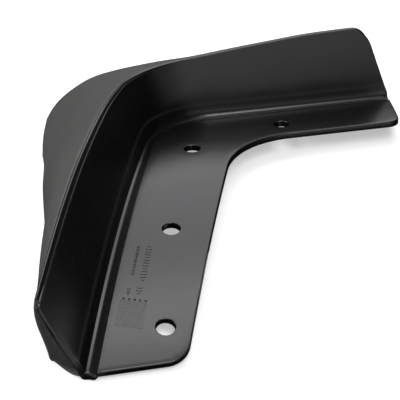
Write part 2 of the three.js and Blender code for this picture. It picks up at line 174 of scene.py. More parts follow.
# Profiles along the guard. Position 0-1 is the long arm, 1-2 the bend, 2-3 the short arm.
lean_at = profile([(0, 29), (0.33, 26.5), (0.66, 24), (1, 21), (1.5, 17), (2, 13), (2.5, 11), (3, 10)])
height_at = profile([
    (0, 38.3), (0.15, 38.6), (0.3, 39), (0.45, 39.2), (0.6, 38.8), (0.8, 37.8), (1, 35.4),
    (1.3, 34.4), (1.5, 34.6), (1.8, 35.8), (2, 37.5), (2.3, 41.5), (2.6, 44.6), (3, 46),
])
reach_at = profile([
    (0, 19.7), (0.15, 24.5), (0.3, 30), (0.45, 36.3), (0.6, 43.3), (0.8, 52.6), (1, 60.9),
    (1.1, 64.6), (1.2, 69.4), (1.3, 74.4), (1.4, 74.8), (1.5, 70.4), (1.6, 64.4), (1.8, 54.2),
    (2, 46.5), (2.4, 34), (3, 18),
])
skin_foot_at = profile([(0, 0), (1, 0), (2, 0), (2.3, 5), (2.65, 17), (3, 28)])
leave_at = profile([
    (0, 78), (0.15, 58), (0.3, 42), (0.6, 28), (1, 24), (1.4, 20), (1.7, 22), (2, 30), (3, 40),
])
land_at = profile([
    (0, 92), (0.15, 92), (0.3, 90), (0.6, 84), (1, 70), (1.4, 62), (1.7, 66), (2, 72), (3, 78),
])
ledge_at = profile([(0, 2.4), (0.4, 2.3), (0.7, 1.95), (1, 1.5), (1.5, 1.25), (2, 1.1), (3, 1.1)])
land_width_at = profile([(0, 0.9), (0.6, 0.75), (1, 0.9), (1.5, 1.6), (2, 2.2), (3, 2.2)])
lip_at = profile([(0, 0.42), (0.7, 0.36), (1, 0.26), (1.5, 0.17), (2, 0.12), (3, 0.12)])
bead_edge_at = profile([(0, 0.1), (0.3, 0.2), (0.6, 0.1), (1, -0.5), (1.5, -2.0), (2, -2.9), (3, -2.9)])
bead_width_at = profile([(0, 1.0), (0.3, 0.9), (0.6, 0.7), (1, 0.4), (1.5, 0.2), (2, 0.12), (3, 0.12)])
bead_drop_at = profile([(0, 0.8), (0.3, 0.5), (0.6, 0.3), (1, 0.3), (1.5, 0.4), (2, 0.35), (3, 0.3)])
cove_level_at = profile([(0, 0.6), (1, 0.8), (1.5, 1.6), (2, 2.2), (3, 2.2)])
cove_rise_at = profile([(0, 3.8), (1, 3.4), (1.5, 2.8), (2, 2.4), (3, 2.4)])

CREST_OUT = 0.15
LEDGE_SLOPE = math.tan(math.radians(44))
LEAVE_PULL = 0.38  # handles of the skin's curve, as shares of its chord
LAND_PULL = 0.4
FILLET_TOP = 8.0  # how far up the wall the cove at its foot reaches
COVE_STEPS = 12
CROWN_STEPS = 9
CROWN_ARRIVE = (0.2, 0.04)  # last handle of the bead's curve, as shares of its span
WALL_STEPS = 22
WALL_CROWDING = 1.35  # how strongly the wall's points crowd towards its top
SKIN_STEPS = 40
SKIN_FLARE = 0.5  # how far the skin's foot is squared off on each side
HEM = 8.0
GROOVE_EDGE = 4.0  # wall foot to the flange's edge
GROOVE_DEPTH = 2.5  # bottom of the narrow groove, below the flange

# Each is a distance outward and a drop below the flange's top. The first list is measured
# from the flange's edge, the second from the wall foot.
GROOVE_SIDE = [(-0.3, 0.7), (-0.05, 0.9), (0.12, GROOVE_DEPTH - 0.25), (0.3, GROOVE_DEPTH)]
CHANNEL_UNDER = [
    (-4.3, 3.4), (-4.15, 3.55), (-3.95, 3.9), (-3.6, 4.4), (-3.2, 4.85), (-2.75, 5.15),
    (-2.3, 5.3), (-1.6, 5.3), (-0.6, 5.3), (0.4, 5.3), (1.2, 5.25), (2.0, 5.0), (2.7, 4.6),
    (3.3, 3.7),
]
LAND_ROUND = 0.26  # rounding at both sides of the narrow land along the crest
SKIN_SEAM = 1.2  # length of skin that belongs to the ridge piece
LIP_DEPTH = 0.35  # depth of the lip's centre in the wall, as a share of the lip's radius
LIP_STEPS = 5
LIP_START_TURN = 0.25
LIP_END_TURN = -0.5
LEDGE_SINK = 0.05  # the ledge starts this far below the lip's surface
LEDGE_SHARES = (0.0, 0.35, 0.7)
APEX_BELOW_WALL = 0.2  # where the hem's inner corner may lie, against its neighbours
APEX_OVER_SKIN = 6.0
RIDGE_RAKES = ((5, 0.0), (4, 0.25), (3, 0.5), (2, 0.75), (1, 1.0))  # blend into the skin's


def bezier(p, t):
    q = 1 - t
    return p[0] * q ** 3 + p[1] * 3 * q * q * t + p[2] * 3 * q * t * t + p[3] * t ** 3


def bezier_slope(p, t):
    q = 1 - t
    return ((p[1] - p[0]) * q * q + (p[2] - p[1]) * 2 * q * t + (p[3] - p[2]) * t * t).normalized()


class Section:
    """Cross-section at one station. x is outward from the wall foot, y is height."""

    def __init__(self, s):
        point, outward = foot(s)
        self.s = s
        self.foot_y = point.y
        self.outward_y = outward.y
        height = height_at(s)
        ledge = ledge_at(s)
        self.base = Vector((0.0, arch(point.y)))
        crest_out = height * math.tan(math.radians(lean_at(s))) + CREST_OUT
        self.crest = self.base + Vector((crest_out, height))
        wall_top = self.crest - Vector((ledge, ledge * LEDGE_SLOPE))
        self.up = (wall_top - self.base).normalized()
        self.back = Vector((self.up.y, -self.up.x))
        self.wall_top = (wall_top - self.base).length
        self.slant = height / self.up.y
        end = Vector((reach_at(s), skin_foot_at(s)))
        chord = (end - self.crest).length
        leave, land = math.radians(leave_at(s)), math.radians(land_at(s))
        self.skin_curve = [
            self.crest,
            self.crest + Vector((math.cos(leave), -math.sin(leave))) * chord * LEAVE_PULL,
            end + Vector((-math.cos(land), math.sin(land))) * chord * LAND_PULL,
            end,
        ]
        self.end = end
        self.chord = chord

    def wall(self, along, depth):
        return self.base + self.up * along + self.back * depth

    def on_arch(self, out, drop):
        return Vector((out, arch(self.foot_y + self.outward_y * out) - drop))

    def skin(self, t, depth):
        slope = bezier_slope(self.skin_curve, t)
        inward = Vector((slope.y, -slope.x))
        return bezier(self.skin_curve, t) + inward * depth


def rake_shift(s, t):
    """How far a point with rake share t stands back along the guard at distance s."""
    return RAKE * t * max(0.0, 1 - s / RAKE_FADE)


def forward_lean(out):
    """Rake share that bows the wall's near end a little ahead of its foot and its crest."""
    return -FORWARD_LEAN * math.sin(math.pi * min(max(out / LEAN_REACH, 0.0), 1.0))


def place(s, point, rake=0.0):
    """World position of a section point at distance s along the guard."""
    plan, outward = foot(s + rake_shift(s, rake))
    return world(plan.x + outward.x * point.x, plan.y + outward.y * point.x, point.y)


# ------------ far end trim
TRIM_CLEARANCE = 0.02
TRIM_BASE = arch(CORNER.y)
TRIM_TOP = TRIM_BASE + height_at(FULL_RUN) + TRIM_CLEARANCE
TRIM_FOOT_X = CORNER.x + SHORT_ARM
SETTLE_ROUNDS = 40
SETTLE_SHARE = 0.6


def trim_circle():
    """Centre of the wall's rounded top corner, and where the straight lean meets it."""
    corner = Vector((TRIM_FOOT_X - TRIM_RUN, TRIM_TOP))
    down = (Vector((TRIM_FOOT_X, TRIM_BASE + CHANNEL_RISE)) - corner).normalized()
    left = Vector((-1.0, 0.0))
    half = math.acos(down.dot(left)) / 2
    centre = corner + (down + left).normalized() * TRIM_RADIUS / math.sin(half)
    touch = corner + down * TRIM_RADIUS / math.tan(half)
    return centre, touch


TRIM_CENTRE, TRIM_TOUCH = trim_circle()


def trim_x(z):
    """Plan X of the far end at a height."""
    if z <= TRIM_BASE + CHANNEL_RISE:
        return TRIM_FOOT_X
    if z <= TRIM_TOUCH.y:
        share = (z - TRIM_BASE - CHANNEL_RISE) / (TRIM_TOUCH.y - TRIM_BASE - CHANNEL_RISE)
        return TRIM_FOOT_X + (TRIM_TOUCH.x - TRIM_FOOT_X) * share
    rise = min(z, TRIM_TOP) - TRIM_CENTRE.y
    return TRIM_CENTRE.x + math.sqrt(max(TRIM_RADIUS ** 2 - rise ** 2, 0.0))


def trimmed_run(height_of):
    """Station where a line of the guard, given by its height at each station, meets the trim."""
    s = FULL_RUN - TRIM_RUN
    for _ in range(SETTLE_ROUNDS):
        target = trim_x(height_of(s)) - BEND_CENTRE.x + BEND_END
        s += (target - s) * SETTLE_SHARE
    return min(s, FULL_RUN)


# ------------ mesh helpers
WELD_DISTANCE = 1e-6
SHARP_ANGLE = 32
SOFT_SHARP_ANGLE = 40


def smooth_by_angle(mesh, degrees):
    """Smooth shading, with edges kept sharp where faces meet at more than the angle."""
    limit = math.radians(degrees)
    work = bmesh.new()
    work.from_mesh(mesh)
    bmesh.ops.remove_doubles(work, verts=work.verts, dist=WELD_DISTANCE)
    bmesh.ops.recalc_face_normals(work, faces=work.faces)
    for face in work.faces:
        face.smooth = True
    for edge in work.edges:
        edge.smooth = len(edge.link_faces) == 2 and edge.calc_face_angle(0.0) < limit
    work.to_mesh(mesh)
    work.free()


def add_object(name, data):
    made = bpy.data.objects.new(name, data)
    bpy.context.scene.collection.objects.link(made)
    return made


def add_piece(name, points, faces, look, nodes=(), degrees=SHARP_ANGLE):
    """One visible piece. look is its material and its slot; the slot is not used."""
    material, slot = look
    mesh = bpy.data.meshes.new(name)
    mesh.from_pydata(points, [], faces)
    smooth_by_angle(mesh, degrees)
    mesh.materials.append(material)
    piece = add_object(name, mesh)
    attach(piece, "root")
    if nodes:
        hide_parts(*nodes)


def end_rounding(distance, radius):
    """How far a rounded end has drawn in at a distance from its tip."""
    if distance >= radius:
        return 0.0
    return radius - math.sqrt(max(radius ** 2 - (radius - distance) ** 2, 0.0))


def slab_faces(rows, across):
    """Faces of a closed slab: each row holds the outer points, then the inner points."""
    width = 2 * across
    faces = []
    for i in range(rows - 1):
        a, b = i * width, (i + 1) * width
        for j in range(across - 1):
            faces.append((a + j, a + j + 1, b + j + 1, b + j))
            faces.append((b + across + j, b + across + j + 1, a + across + j + 1, a + across + j))
        faces.append((a, b, b + across, a + across))
        last = across - 1
        faces.append((b + last, a + last, a + across + last, b + across + last))
    for row, flipped in ((0, True), (rows - 1, False)):
        a = row * width
        for j in range(across - 1):
            quad = (a + j, a + j + 1, a + across + j + 1, a + across + j)
            faces.append(quad[::-1] if flipped else quad)
    return faces


def stations(start, end, spacing):
    count = max(1, round((end - start) / spacing))
    return [start + (end - start) * i / count for i in range(count + 1)]


END_STEPS = [0.0, 0.06, 0.2, 0.42, 0.7, 1.0]
ARM_STEP = 2.6
BEND_STEP = 1.6
NEAR_ROUND = 5.0  # rounded top corner of the near end, and the share of it that is used
NEAR_SHARE = 0.55
NEAR_BLEND = 40.0  # stations are even again from here on
TRIM_ZONE = 62.0  # length at the far end over which the trimming acts
TRIM_START = FULL_RUN - TRIM_ZONE


def run_stations(start, end_radius):
    """Stations from the near end to where the far end's trimming begins to act."""
    near = [start + end_radius * share for share in END_STEPS]
    arm = stations(near[-1], LONG_RUN, ARM_STEP)[1:]
    bend = stations(LONG_RUN, BEND_END, BEND_STEP)[1:]
    short = stations(BEND_END, TRIM_START, ARM_STEP)[1:]
    return near + arm + bend + short


def far_shares(length, end_radius):
    """Stations of the trimmed far end, as shares of its length."""
    body = stations(0.0, length - end_radius, ARM_STEP)[1:]
    tip = [length - end_radius * share for share in reversed(END_STEPS[:-1])]
    return [value / length for value in body + tip]


def near_limit(below_crest):
    """How far the near end's rounded top corner stands back, at a depth below the crest."""
    rise = NEAR_ROUND - min(max(below_crest, 0.0), NEAR_ROUND)
    return NEAR_SHARE * (NEAR_ROUND - math.sqrt(NEAR_ROUND ** 2 - rise ** 2))


def near_places(s, starts, near_start, radius):
    """Station and inset of each line, near the near end, where each has a start of its own."""
    travel = s - near_start
    inset = end_rounding(travel, radius)
    if travel <= radius:
        return [(start + travel, inset) for start in starts]
    share = (travel - radius) / (NEAR_BLEND - near_start - radius)
    return [(start + radius + (NEAR_BLEND - start - radius) * share, inset) for start in starts]


def far_places(share, limits, radius):
    """The same near the far end, where each line ends at its own limit."""
    placed = [(TRIM_START + (limit - TRIM_START) * share, limit) for limit in limits]
    return [(s, end_rounding(limit - s, radius)) for s, limit in placed]


def uneven_row(contour, places):
    across = len(places)
    row = [None] * (2 * across)
    for j, (s, inset) in enumerate(places):
        ring = contour(Section(s), inset)
        for k in (j, j + across):
            row[k] = place(s, *ring[k])
    return row


def sweep_zone(contour, near_start, radius):
    """A zone swept along the guard. contour(section, inset) gives the outer points, then the
    inner points, each with its rake share."""
    tip = Section(near_start)
    ring = contour(tip, 0.0)
    across = len(ring) // 2
    starts = [near_start + near_limit(tip.crest.y - ring[j][0].y) for j in range(across)]
    limits = [
        trimmed_run(lambda s, j=j: contour(Section(s), 0.0)[j][0].y)
        for j in range(across)
    ]
    rows = []
    for s in run_stations(near_start, radius):
        if s >= NEAR_BLEND:
            rows.append([place(s, *entry) for entry in contour(Section(s), 0.0)])
        else:
            rows.append(uneven_row(contour, near_places(s, starts, near_start, radius)))
    for share in far_shares(FULL_RUN - TRIM_START, radius):
        rows.append(uneven_row(contour, far_places(share, limits, radius)))
    points = [p for row in rows for p in row]
    return points, slab_faces(len(rows), across)


# ------------ contours of the swept zones
MOST_DRAWN = 0.48  # share of the thickness that a rounded end may take from each side


def draw_in(outer, inner, inset):
    """Moves matching outer and inner points towards each other."""
    moved = []
    for (a, rake_a), (b, rake_b) in zip(outer, inner):
        gap = (b - a).length
        share = min(inset / gap, MOST_DRAWN) if gap > 0 else 0.0
        moved.append(((a + (b - a) * share, rake_a), (b + (a - b) * share, rake_b)))
    return [a for a, b in moved] + [b for a, b in moved]


def channel_contour(section, inset):
    """Narrow groove beside the flange, a crowned bead, then the cove up the wall."""
    edge = bead_edge_at(section.s)
    flat = section.on_arch(edge, bead_drop_at(section.s))
    outer = [section.on_arch(-GROOVE_EDGE + out, drop) for out, drop in GROOVE_SIDE]
    bottom = outer[-1]
    span = flat - bottom
    arrive = Vector((span.x * CROWN_ARRIVE[0], span.y * CROWN_ARRIVE[1]))
    crown = [bottom, bottom + span * 0.5, flat - arrive, flat]
    outer += [bezier(crown, (i + 1) / CROWN_STEPS) for i in range(CROWN_STEPS)]
    cove_start = flat + Vector((bead_width_at(section.s), 0.0))
    cove = [
        cove_start,
        cove_start + Vector((cove_level_at(section.s), 0.0)),
        section.wall(cove_rise_at(section.s), 0),
        section.wall(FILLET_TOP, 0),
    ]
    outer.append((flat + cove_start) / 2)
    outer += [bezier(cove, i / COVE_STEPS) for i in range(COVE_STEPS + 1)]
    under = [section.on_arch(out, drop) for out, drop in CHANNEL_UNDER]
    low, back = under[-1], section.wall(FILLET_TOP, WALL)
    rise = len(outer) - len(under)
    under += [low + (back - low) * (i + 1) / rise for i in range(rise)]
    pairs = [[(p, forward_lean(p.x)) for p in side] for side in (outer, under)]
    return draw_in(*pairs, inset)


def wall_contour(section, inset):
    """Plain wall from the cove's top to the lip."""
    low, high = FILLET_TOP, section.wall_top - lip_at(section.s)
    outer, inner = [], []
    for i in range(WALL_STEPS + 1):
        share = 1 - (1 - i / WALL_STEPS) ** WALL_CROWDING
        along = low + (high - low) * share
        for side, depth in ((outer, 0), (inner, WALL)):
            point = section.wall(along, depth)
            side.append((point, forward_lean(point.x)))
    return draw_in(outer, inner, inset)


def corner_points(before, corner, after, size, count=4):
    """Points of a rounded corner, size away from it on either side."""
    start = corner + (before - corner).normalized() * size
    end = corner + (after - corner).normalized() * size
    handles = [start, start.lerp(corner, 0.6), end.lerp(corner, 0.6), end]
    return [bezier(handles, i / (count - 1)) for i in range(count)]


def ridge_outer(section):
    """From the wall's top over the fine lip, the ledge and the narrow land to the skin."""
    lip = lip_at(section.s)
    centre = section.wall(section.wall_top, lip * LIP_DEPTH)
    points = [section.wall(section.wall_top - lip, 0)]
    ledge = (section.crest - section.wall(section.wall_top, 0)).normalized()
    ledge_normal = Vector((-ledge.y, ledge.x))
    start_angle = math.atan2(-section.back.y, -section.back.x) + LIP_START_TURN
    end_angle = math.atan2(ledge_normal.y, ledge_normal.x) + LIP_END_TURN
    for i in range(LIP_STEPS + 1):
        angle = start_angle + (end_angle - start_angle) * i / LIP_STEPS
        points.append(centre + Vector((math.cos(angle), math.sin(angle))) * lip)
    leave = math.tan(math.radians(leave_at(section.s)))
    fall = land_width_at(section.s) / (1 / LEDGE_SLOPE + 1 / leave)
    inner_side = section.crest + Vector((-fall / LEDGE_SLOPE, -fall))
    outer_side = section.crest + Vector((fall / leave, -fall))
    ledge_foot = centre + ledge * lip - ledge_normal * LEDGE_SINK
    for share in LEDGE_SHARES:
        points.append(ledge_foot.lerp(inner_side - ledge * LAND_ROUND, share))
    points += corner_points(ledge_foot, inner_side, outer_side, LAND_ROUND)
    seam = section.skin(skin_parameter(section, SKIN_SEAM), 0)
    points += corner_points(inner_side, outer_side, seam, LAND_ROUND)
    points.append(seam)
    return points


def skin_parameter(section, length):
    """Curve parameter of the skin at a short length from the crest."""
    return length / (3 * LEAVE_PULL * section.chord)


def crossing(a, direction_a, b, direction_b):
    """Where two lines, each given by a point and a direction, cross."""
    along = (b - a).cross(direction_b) / direction_a.cross(direction_b)
    return a + direction_a * along


def ridge_contour(section, inset):
    """The crest: the fine lip, ledge and land outside, and the solid hem below them."""
    outer = ridge_outer(section)
    t_seam = skin_parameter(section, SKIN_SEAM)
    wall_side = section.wall(section.wall_top - lip_at(section.s), WALL)
    t_hem = skin_parameter(section, HEM)
    skin_side = section.skin(t_seam, SKIN)
    apex = crossing(
        section.wall(section.slant - HEM, WALL),
        section.up,
        section.skin(t_hem, SKIN),
        (section.skin(t_hem, 0) - section.crest).normalized(),
    )
    if apex.y > wall_side.y - APEX_BELOW_WALL or apex.y > skin_side.y + APEX_OVER_SKIN:
        apex = (wall_side + skin_side) / 2
    count = len(outer)
    inner = []
    for i in range(count):
        share = i / (count - 1)
        if share < 0.5:
            inner.append(wall_side + (apex - wall_side) * share * 2)
        else:
            inner.append(apex + (skin_side - apex) * (share * 2 - 1))
    rakes = [forward_lean(point.x) for point in outer]
    for step, share in RIDGE_RAKES:
        rakes[-step] += (t_seam - rakes[-step]) * share
    return draw_in(zip(outer, rakes), zip(inner, rakes), inset)


def skin_contour(section, inset):
    """Outer and inner faces of the skin, level at its foot."""
    first = skin_parameter(section, SKIN_SEAM)
    outer, inner = [], []
    for i in range(SKIN_STEPS + 1):
        share = i / SKIN_STEPS
        t = first + (1 - first) * share
        outer.append((section.skin(t, 0), t))
        inner.append((section.skin(t, SKIN), t))
    bottom = section.end.y
    foot_point = outer[-1][0]
    inner_foot = inner[-1][0]
    outer[-1] = (Vector((foot_point.x - SKIN_FLARE, bottom)), 1.0)
    inner[-1] = (Vector((inner_foot.x + SKIN_FLARE, bottom)), 1.0)
    ring = draw_in(outer, inner, inset)
    return [(Vector((p.x, max(p.y, bottom))), r) for p, r in ring]


# ------------ materials
def node_material(name):
    material = bpy.data.materials.new(name)
    material.use_nodes = True
    tree = material.node_tree
    tree.nodes.clear()
    output = tree.nodes.new("ShaderNodeOutputMaterial")
    shader = tree.nodes.new("ShaderNodeBsdfPrincipled")
    tree.links.new(shader.outputs["BSDF"], output.inputs["Surface"])
    return material, tree, shader


def set_inputs(tree, node, values):
    """Links each node input to an output, or sets it to a plain value."""
    for key, value in values.items():
        if isinstance(value, bpy.types.NodeSocket):
            tree.links.new(value, node.inputs[key])
        else:
            node.inputs[key].default_value = value


def noise(tree, coordinates, scale, detail=3.0, roughness=0.55, stretch=None):
    source = coordinates
    if stretch is not None:
        mapping = tree.nodes.new("ShaderNodeMapping")
        set_inputs(tree, mapping, {"Scale": stretch, "Vector": coordinates})
        source = mapping.outputs["Vector"]
    node = tree.nodes.new("ShaderNodeTexNoise")
    set_inputs(tree, node, {
        "Scale": scale, "Detail": detail, "Roughness": roughness, "Vector": source,
    })
    return node.outputs["Fac"]


def remap(tree, value, span, result):
    """Carries a value from one range to another."""
    node = tree.nodes.new("ShaderNodeMapRange")
    ranges = zip(("From Min", "From Max", "To Min", "To Max"), (*span, *result))
    set_inputs(tree, node, {"Value": value, **dict(ranges)})
    return node.outputs["Result"]


def combine(tree, operation, a, b):
    node = tree.nodes.new("ShaderNodeMath")
    node.operation = operation
    set_inputs(tree, node, {0: a, 1: b})
    return node.outputs["Value"]


def mix_colours(tree, factor, first, second):
    node = tree.nodes.new("ShaderNodeMix")
    node.data_type = "RGBA"
    colours = [(*c, 1.0) if isinstance(c, tuple) else c for c in (first, second)]
    set_inputs(tree, node, dict(zip(("Factor", "A", "B"), (factor, *colours))))
    return node.outputs["Result"]


def bump(tree, height, strength, distance, normal=None):
    node = tree.nodes.new("ShaderNodeBump")
    set_inputs(tree, node, {"Strength": strength, "Distance": distance, "Height": height})
    if normal is not None:
        tree.links.new(normal, node.inputs["Normal"])
    return node.outputs["Normal"]


def edge_wear(tree):
    """1 on convex edges, 0 on flats and in hollows."""
    geometry = tree.nodes.new("ShaderNodeNewGeometry")
    return remap(tree, geometry.outputs["Pointiness"], (0.52, 0.60), (0.0, 1.0))


PLASTIC_IOR = 1.5
GRAIN_SCALE = 1050.0


def smooth_plastic():
    """Satin moulded black plastic: flow marks, faint scuffs and slightly polished edges."""
    material, tree, shader = node_material("smooth_black_plastic")
    coordinates = tree.nodes.new("ShaderNodeTexCoord").outputs["Object"]
    cloud = noise(tree, coordinates, 28.0, detail=4.0, roughness=0.6)
    flow = noise(tree, coordinates, 9.0, roughness=0.5, stretch=(1.0, 3.2, 1.0))
    dust = noise(tree, coordinates, 1400.0, detail=2.0, roughness=0.6)
    scuff = noise(tree, coordinates, 120.0, 5.0, roughness=0.7, stretch=(6.0, 0.7, 1.0))
    base = mix_colours(tree, cloud, (0.0012, 0.0012, 0.0015), (0.0026, 0.0025, 0.0030))
    specks = remap(tree, dust, (0.66, 0.8), (0.0, 0.35))
    speckled = mix_colours(tree, specks, base, (0.020, 0.019, 0.019))
    wear = combine(tree, "MULTIPLY", edge_wear(tree), 0.5)
    worn = mix_colours(tree, wear, speckled, (0.030, 0.029, 0.029))
    tree.links.new(worn, shader.inputs["Base Color"])
    gloss = remap(tree, flow, (0.3, 0.7), (0.26, 0.33))
    scratches = remap(tree, scuff, (0.5, 0.8), (0.0, 0.02))
    tree.links.new(combine(tree, "ADD", gloss, scratches), shader.inputs["Roughness"])
    swell = noise(tree, coordinates, 34.0, detail=2.0, roughness=0.5)
    peel = noise(tree, coordinates, 900.0, detail=2.0, roughness=0.5)
    waves = bump(tree, swell, strength=0.3, distance=0.0006)
    surface = bump(tree, peel, strength=0.10, distance=0.00008, normal=waves)
    tree.links.new(surface, shader.inputs["Normal"])
    shader.inputs["IOR"].default_value = PLASTIC_IOR
    return material


def grained_plastic(name, dark, pale):
    """Spark-eroded grain on matt black plastic, greyer where the grain's peaks are rubbed."""
    material, tree, shader = node_material(name)
    coordinates = tree.nodes.new("ShaderNodeTexCoord").outputs["Object"]
    cell = tree.nodes.new("ShaderNodeTexVoronoi")
    cell.feature = "SMOOTH_F1"
    cell.inputs["Scale"].default_value = GRAIN_SCALE
    tree.links.new(coordinates, cell.inputs["Vector"])
    grain = cell.outputs["Distance"]
    fine = noise(tree, coordinates, 2300.0, roughness=0.65)
    cloud = noise(tree, coordinates, 22.0, detail=4.0, roughness=0.6)
    base = mix_colours(tree, cloud, dark, pale)
    peaks = remap(tree, grain, (0.25, 0.7), (0.0, 0.7))
    grained = mix_colours(tree, peaks, base, (0.019, 0.0189, 0.0183))
    wear = combine(tree, "MULTIPLY", edge_wear(tree), 0.55)
    worn = mix_colours(tree, wear, grained, (0.11, 0.108, 0.104))
    tree.links.new(worn, shader.inputs["Base Color"])
    matt = remap(tree, cloud, (0.3, 0.7), (0.62, 0.74))
    tree.links.new(matt, shader.inputs["Roughness"])
    coarse = bump(tree, grain, strength=0.55, distance=0.0003)
    surface = bump(tree, fine, strength=0.25, distance=0.00012, normal=coarse)
    tree.links.new(surface, shader.inputs["Normal"])
    shader.inputs["IOR"].default_value = PLASTIC_IOR
    return material


SMOOTH = (smooth_plastic(), "smooth_plastic")
GRAINED = (
    grained_plastic("grained_black_plastic", (0.027, 0.0268, 0.0256), (0.037, 0.0365, 0.0348)),
    "grained_plastic",
)
# Darker copy of the same grained plastic for the near end plate. Its darker colour is painted shade,
# for the little light that reaches the plate.
SHADE_DARKENED_GRAINED = (
    grained_plastic("grained_plastic_painted_shade", (0.010, 0.010, 0.0096), (0.016, 0.016, 0.0152)),
    "grained_plastic",
)
ZONES = ("long_arm", "bend", "short_arm")


def zone_nodes(name):
    return [f"{name}_{zone}" for zone in ZONES]


# ------------ channel, wall, ridge and skin
EDGE_ROUND = 1.1
SKIN_EDGE_ROUND = 1.15
SKIN_START = 0.4  # the skin starts this far behind the wall's near edge

SMOOTH_ZONES = [
    ("channel", channel_contour, "channel"),
    ("wall", wall_contour, "wall"),
    ("ridge", ridge_contour, "hem"),
]
for name, contour, node in SMOOTH_ZONES:
    points, faces = sweep_zone(contour, 0.0, EDGE_ROUND)
    add_piece(name, points, faces, SMOOTH, zone_nodes(node))

points, faces = sweep_zone(skin_contour, SKIN_START, SKIN_EDGE_ROUND)
add_piece("outer_skin", points, faces, GRAINED, zone_nodes("skin"), SOFT_SHARP_ANGLE)


# ------------ near end plate
PLATE_DOWN = 26
PLATE_ACROSS = 14
PLATE_TOP = 0.1  # where on the skin's curve the plate begins
PLATE_BELOW_TOP = 1.5  # the plate's top, below the wall's top
PLATE_IN_WALL = 0.8  # depth of its edge in the wall and in the skin, as shares of them
PLATE_IN_SKIN = 0.55
PLATE_HURRY = 1.04  # the plate's wall side runs down a little faster than its skin side
PLATE_FOOT = 0.96  # below this share the wall side drops to the floor
PLATE_FOOT_LEVEL = 1.2
PLATE_CLEARANCE = 0.02  # above the floor, and more beside the wall
PLATE_WALL_CLEARANCE = 0.12


def plate_set_back(u):
    """How far the plate stands back, from the wall's side at 0 to the skin's side at 1."""
    return 1.5 * (1 - u) ** 3 + 0.5 * u ** 4 + 0.35 + 0.5 * (1 - u)


def plate_wall_point(section, t):
    low = section.wall(CHANNEL_RISE, WALL * PLATE_IN_WALL)
    high = section.wall(section.wall_top - PLATE_BELOW_TOP, WALL * PLATE_IN_WALL)
    point = high + (low - high) * min(t * PLATE_HURRY, 1.0)
    if t > PLATE_FOOT:
        point.y -= (t - PLATE_FOOT) / (1 - PLATE_FOOT) * (low.y - PLATE_FOOT_LEVEL)
    return point


def near_plate():
    """Plate that closes the hollow at the near end, set back a little behind the wall's edge."""
    points, faces = [], []
    section = Section(0.0)
    for thickness in (0.0, CAP):
        for i in range(PLATE_DOWN + 1):
            t = PLATE_TOP + (1 - PLATE_TOP) * i / PLATE_DOWN
            skin_point = section.skin(t, SKIN * PLATE_IN_SKIN)
            wall_point = plate_wall_point(section, t)
            for j in range(PLATE_ACROSS + 1):
                u = j / PLATE_ACROSS
                point = wall_point + (skin_point - wall_point) * u
                point.y = max(point.y, PLATE_CLEARANCE + PLATE_WALL_CLEARANCE * (1 - u))
                rake = t * u + forward_lean(point.x) * (1 - u)
                points.append(place(plate_set_back(u) + thickness, point, rake))
    width = PLATE_ACROSS + 1
    count = width * (PLATE_DOWN + 1)
    for i in range(PLATE_DOWN):
        for j in range(PLATE_ACROSS):
            a = i * width + j
            quad = (a, a + 1, a + 1 + width, a + width)
            faces.append(quad)
            faces.append(tuple(k + count for k in reversed(quad)))
    rim = list(range(width))
    rim += [i * width + PLATE_ACROSS for i in range(1, PLATE_DOWN + 1)]
    rim += [PLATE_DOWN * width + j for j in range(PLATE_ACROSS - 1, -1, -1)]
    rim += [i * width for i in range(PLATE_DOWN - 1, 0, -1)]
    for a, b in zip(rim, rim[1:] + rim[:1]):
        faces.append((b, a, a + count, b + count))
    return points, faces


points, faces = near_plate()
# The plate takes the darker grained copy: painted shade in its colour.
add_piece("near_end_plate", points, faces, SHADE_DARKENED_GRAINED, ["near_end_cap"], SOFT_SHARP_ANGLE)


# ------------ stiffening webs in the hollow
RIB_STEPS = 18
RIB_FOOT = 3.0  # lower edge above the channel, along the wall
RIB_SINK = 0.15  # how far the web runs into the wall and the skin
RIB_TOP = 8.4  # the web's top below the crest, just under the solid hem
RIB_SAG = 2.2  # how far the lower edge bows up in the middle

# Layers through the web's thickness: where each lies, and how far its lower edge draws in.
RIB_LAYERS = [(-1.0, 0.35), (-0.7, 0.08), (0.0, 0.0), (0.7, 0.08), (1.0, 0.35)]


def parameter_at_height(section, depth, height):
    """Curve parameter where the skin, at a depth, comes down to a height."""
    low, high = 0.0, 0.999
    for _ in range(30):
        middle = (low + high) / 2
        if section.skin(middle, depth).y > height:
            low = middle
        else:
            high = middle
    return low


def rib(position):
    """Thin web between the wall and the skin with a soft lower edge."""
    s = distance_at(position)
    section = Section(s)
    last = parameter_at_height(section, SKIN, section.end.y + RIB_LIFT)
    first = skin_parameter(section, RIB_TOP)
    top_wall = section.wall(section.slant - RIB_TOP, WALL - RIB_SINK)
    low_wall = section.wall(CHANNEL_RISE + RIB_FOOT, WALL - RIB_SINK)
    low_span = section.skin(last, SKIN - RIB_SINK) - low_wall
    points = []
    for side, draw in RIB_LAYERS:
        station = s + side * RIB / 2
        row_top, row_low = [], []
        for i in range(RIB_STEPS + 1):
            share = i / RIB_STEPS
            upper = section.skin(first + (last - first) * share, SKIN - RIB_SINK)
            sag = Vector((0.0, RIB_SAG * math.sin(math.pi * share) + draw))
            row_top.append(place(station, top_wall if i == 0 else upper))
            row_low.append(place(station, low_wall + low_span * share + sag))
        points += row_top + row_low
    return points, slab_faces(len(RIB_LAYERS), RIB_STEPS + 1)


for index, position in enumerate(RIB_POSITIONS):
    points, faces = rib(position)
    node = f"rib_{index + 1}"
    add_piece(f"web_{index + 1}", points, faces, SMOOTH, [node], SOFT_SHARP_ANGLE)


